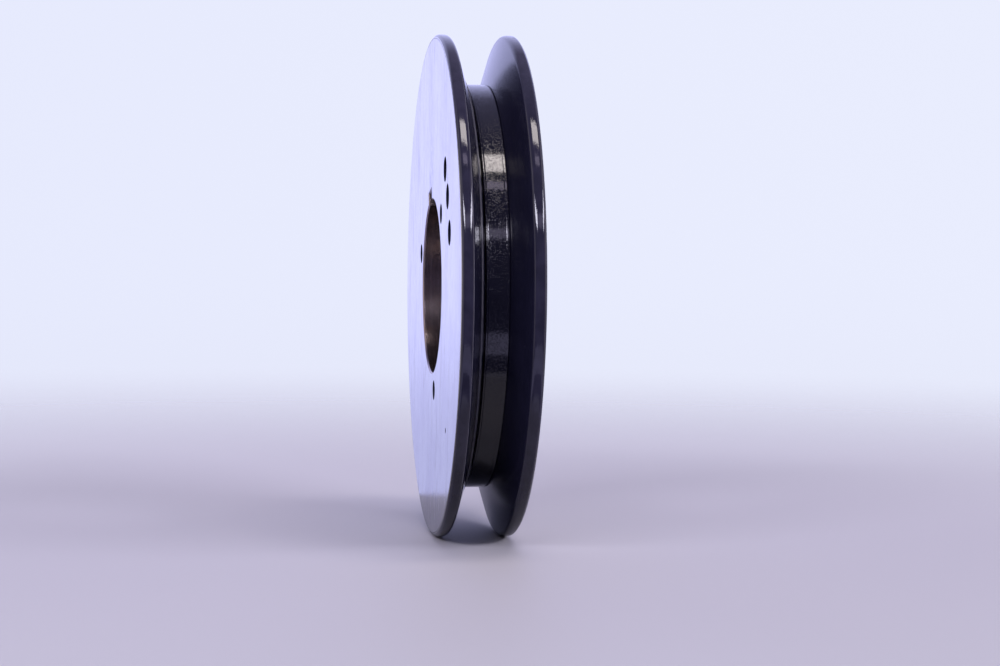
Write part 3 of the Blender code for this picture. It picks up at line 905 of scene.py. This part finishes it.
def dot_to(tree, direction, azimuth, elevation):
    """The cosine of the angle between a direction and a place in the sky."""
    a, e = math.radians(azimuth), math.radians(elevation)
    axis = (math.cos(e) * math.cos(a), math.cos(e) * math.sin(a), math.sin(e))
    dot = add(tree, "ShaderNodeVectorMath", {0: direction, 1: axis}, operation="DOT_PRODUCT")
    return dot.outputs["Value"]


def lamp(tree, light, u, v, centre, reach, edge, colour):
    """Light a soft-edged box in the sky: where two coordinates are both within reach of a centre."""
    inside = None
    for where, middle, half, soft in zip((u, v), centre, reach, edge):
        off = calc(tree, "ABSOLUTE", calc(tree, "SUBTRACT", where, middle))
        near = ramp(tree, off, half + soft, half)
        inside = near if inside is None else calc(tree, "MULTIPLY", inside, near)
    return blend(tree, inside, light, (*colour, 1.0))


def studio():
    """Pale backdrop for the camera. For light and reflections: a tall bright sheet behind the pulley
    that dims away from its middle and below the horizon, a dark room in front, a broad soft wing at
    either side, two long lamps and a weak one low in front, two bars above that lie along the
    pulley's axis, and two faint bands of light from below."""
    world = bpy.data.worlds.new("studio")
    bpy.context.scene.world = world
    world.use_nodes = True
    tree = world.node_tree
    tree.nodes.clear()
    direction = add(tree, "ShaderNodeTexCoord").outputs["Generated"]
    part = add(tree, "ShaderNodeSeparateXYZ", {0: direction}).outputs
    azimuth = calc(tree, "DEGREES", calc(tree, "ARCTAN2", part["Y"], part["X"]))
    elevation = calc(tree, "DEGREES", calc(tree, "ARCSINE", part["Z"]))
    rise = calc(tree, "DEGREES", calc(tree, "ARCTAN2", part["Z"], part["X"]))
    towards = dot_to(tree, direction, 185.0, 10.0)
    room, dim, sheet = (0.060, 0.058, 0.130, 1.0), (0.23, 0.22, 0.38, 1.0), (0.86, 0.88, 1.50, 1.0)
    light = blend(tree, ramp(tree, towards, -0.12, 0.50), room, dim)
    light = blend(tree, ramp(tree, towards, 0.76, 0.99), light, sheet)
    wing, strip, weak = (0.80, 0.74, 0.82), (17.0, 16.5, 20.0), (1.1, 1.0, 1.5)
    dull_bar, bright_bar = (2.1, 1.85, 2.5), (9.4, 8.6, 8.5)
    low, lowest = (0.55, 0.52, 0.85), (0.45, 0.43, 0.62)
    for side in (-95.0, 95.0):
        light = lamp(tree, light, elevation, azimuth, (10.0, side), (26.0, 22.0), (10.0, 10.0), wing)
    dimmed = blend(tree, 0.34, light, (0.030, 0.030, 0.060, 1.0))
    light = blend(tree, ramp(tree, part["Z"], -0.105, -0.035), dimmed, light)
    for u, v, centre, reach, edge, colour in (
            (elevation, azimuth, (31.0, -34.0), (3.2, 19.0), (1.2, 8.0), strip),
            (elevation, azimuth, (28.5, 50.0), (3.2, 19.0), (1.2, 8.0), strip),
            (elevation, azimuth, (31.0, 9.0), (2.2, 9.0), (1.5, 6.0), weak),
            (rise, part["Y"], (60.0, 0.136), (1.9, 0.12), (1.0, 0.05), dull_bar),
            (rise, part["Y"], (74.8, 0.136), (5.4, 0.22), (1.2, 0.04), bright_bar),
            (elevation, part["Y"], (-30.0, 0.0), (5.5, 2.0), (1.5, 0.1), low),
            (elevation, part["Y"], (-70.0, 0.0), (22.0, 2.0), (2.0, 0.1), lowest)):
        light = lamp(tree, light, u, v, centre, reach, edge, colour)
    around = ramp(tree, dot_to(tree, direction, 110.0, 20.0), -0.9, 0.9)
    backdrop = blend(tree, around, (0.735, 0.765, 0.975, 1.0), (0.82, 0.85, 0.99, 1.0))
    backdrop = blend(tree, ramp(tree, part["Z"], -0.30, -0.02), (0.62, 0.62, 0.74, 1.0), backdrop)
    seen = add(tree, "ShaderNodeLightPath").outputs["Is Camera Ray"]
    colour = blend(tree, seen, light, backdrop)
    shade = add(tree, "ShaderNodeBackground", {"Color": colour})
    out = tree.nodes.new("ShaderNodeOutputWorld")
    tree.links.new(shade.outputs[0], out.inputs["Surface"])


def make_floor():
    """A round pale floor that fades out into the backdrop. Reflections see only its middle, and see it in
    a darker tone that is painted shade, standing in for the shadow under the pulley."""
    radius, steps = 1.6, 96
    mesh = bpy.data.meshes.new("floor")
    rim = circle(radius, steps)
    verts = np.column_stack((rim[:, 0], rim[:, 1], np.full(steps, FLOOR_Z)))
    mesh.from_pydata(verts, [], [list(range(steps))])
    floor = bpy.data.objects.new("floor", mesh)
    bpy.context.scene.collection.objects.link(floor)
    made = bpy.data.materials.new("pale_floor")
    made.use_nodes = True
    tree = made.node_tree
    shader = tree.nodes["Principled BSDF"]
    shader.inputs["Roughness"].default_value = 0.6
    where = add(tree, "ShaderNodeTexCoord").outputs["Object"]
    part = add(tree, "ShaderNodeSeparateXYZ", {0: where}).outputs
    level = add(tree, "ShaderNodeCombineXYZ", {"X": part["X"], "Y": part["Y"]}).outputs[0]
    reach = add(tree, "ShaderNodeVectorMath", {0: level}, operation="LENGTH").outputs["Value"]
    clear = add(tree, "ShaderNodeBsdfTransparent")
    seen = add(tree, "ShaderNodeLightPath").outputs["Is Camera Ray"]
    # painted shade: reflections get the floor at about half its tone, for the shadow under the pulley
    tone_with_painted_shade = blend(tree, seen, (0.27, 0.26, 0.275, 1.0), (0.50, 0.485, 0.500, 1.0))
    tree.links.new(tone_with_painted_shade, shader.inputs["Base Color"])
    start = calc(tree, "MULTIPLY_ADD", seen, 0.03, 0.19)
    end = calc(tree, "MULTIPLY_ADD", seen, 1.30, 0.22)
    mix = add(tree, "ShaderNodeMixShader", {0: ramp(tree, reach, start, end), 1: shader.outputs[0],
                                            2: clear.outputs[0]})
    tree.links.new(mix.outputs[0], tree.nodes["Material Output"].inputs["Surface"])
    mesh.materials.append(made)


def make_camera():
    """Almost edge on to the pulley, a little above its middle."""
    camera = bpy.data.cameras.new("camera")
    camera.lens = 88.15
    camera.sensor_width = 36.0
    camera.clip_start = 0.05
    lens = bpy.data.objects.new("camera", camera)
    right = Vector((0.13553759, 0.99072679, 0.00948598))
    up = Vector((-0.05475372, -0.00206974, 0.99849774))
    back = Vector((0.9892581, -0.13585338, 0.05396545))
    turn = Matrix((right, up, back)).transposed().to_4x4()
    lens.matrix_world = Matrix.Translation((1.46119, -0.18257, 0.05150)) @ turn
    bpy.context.scene.collection.objects.link(lens)
    bpy.context.scene.camera = lens


# ---------------------------------------------------------------- build

bpy.context.scene.view_settings.view_transform = "Standard"
BORE = bored_steel()
# the holes' insides get a material of painted shade
GROUND, LANDS, HOLE_SHADE = ground_steel(), gloss_paint(), painted_hole_shade()
NEAR_WALL = wall_paint("black_paint_front_wall", (0.008, 0.008, 0.018), (0.016, 0.015, 0.032),
                       roughest=0.08, wear_amount=0.95, specular=0.25)
FAR_WALL = wall_paint("black_paint_back_wall", (0.009, 0.009, 0.020), (0.017, 0.016, 0.036),
                      roughest=0.22, wear_amount=0.30, specular=0.5)
make_front_flange([GROUND, LANDS, NEAR_WALL, BORE, HOLE_SHADE])
make_back_flange([GROUND, LANDS, FAR_WALL, BORE, HOLE_SHADE])
make_spacer([rough_paint(), BORE])
OXIDE = plain_metal("black_oxide_steel", (0.030, 0.030, 0.034), (0.055, 0.054, 0.060),
                    rough=0.30, ring_pitch=0.0004, depth=0.00001)
SPRING = plain_metal("spring_steel_plain", (0.26, 0.25, 0.25), (0.38, 0.37, 0.36),
                     rough=0.28, ring_pitch=0.0006, depth=0.00002)
PIN = plain_metal("pin_steel_ground", (0.52, 0.52, 0.55), (0.64, 0.64, 0.67),
                  rough=0.12, ring_pitch=0.0003, depth=0.00001)
for number, angle in enumerate(SCREW_ANGLES, 1):
    make_screw(number, angle, OXIDE)
    make_washer(number, angle, SPRING)
for number, angle in enumerate(DOWEL_ANGLES, 1):
    make_dowel(number, angle, PIN)

studio()
make_floor()
make_camera()
